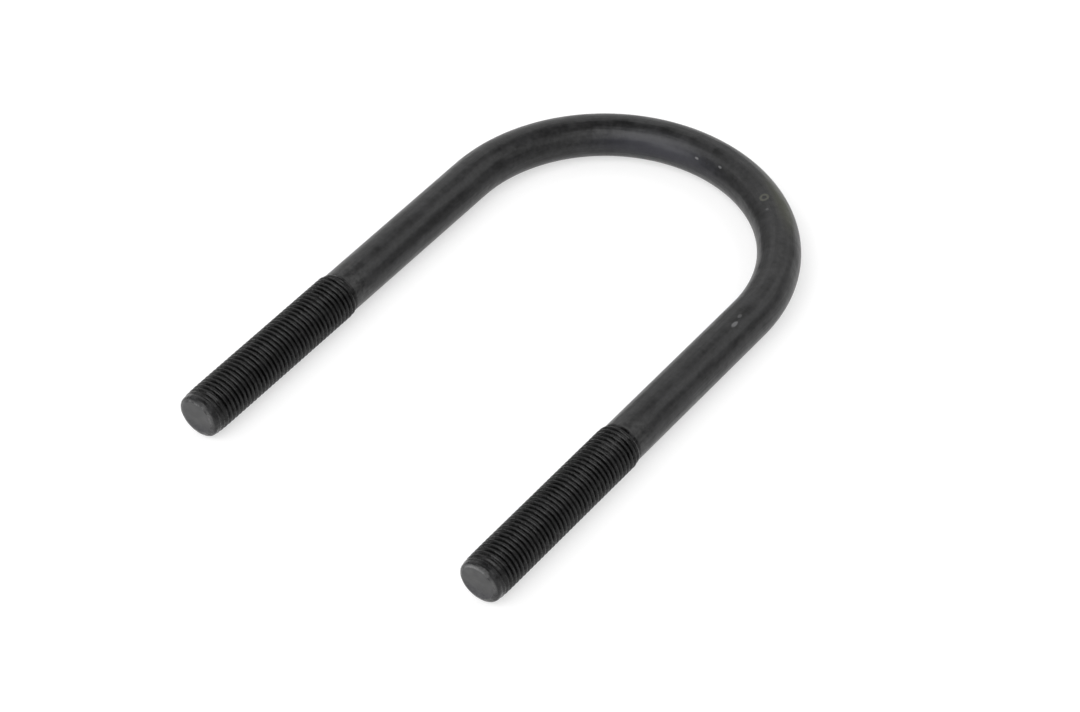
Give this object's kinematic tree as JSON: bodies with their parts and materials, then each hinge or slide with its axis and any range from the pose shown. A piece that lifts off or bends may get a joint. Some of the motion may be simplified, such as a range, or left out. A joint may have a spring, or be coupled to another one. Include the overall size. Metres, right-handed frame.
{
  "type": "u-bolt",
  "caption": "Round-bend U-bolt of plain black steel bar with rolled threads at both ends, for holding a round tube against a clamp plate.",
  "frame": {"origin": "centre of the bend on the bar's mid-plane, where the axis of a seated tube runs", "axes": "+Z is square to the plane of the U and is up as the bolt lies flat; the bend points along +Y and both legs point along -Y; the left leg is on -X and the right leg on +X"},
  "size_m": [0.09, 0.1449, 0.011],
  "materials": {
    "black_steel": "black mill scale with a thin film of oil, satin on the bar and darker in the thread grooves"
  },
  "bodies": {
    "root": {"u_bolt": "black_steel"}
  },
  "joints": []
}
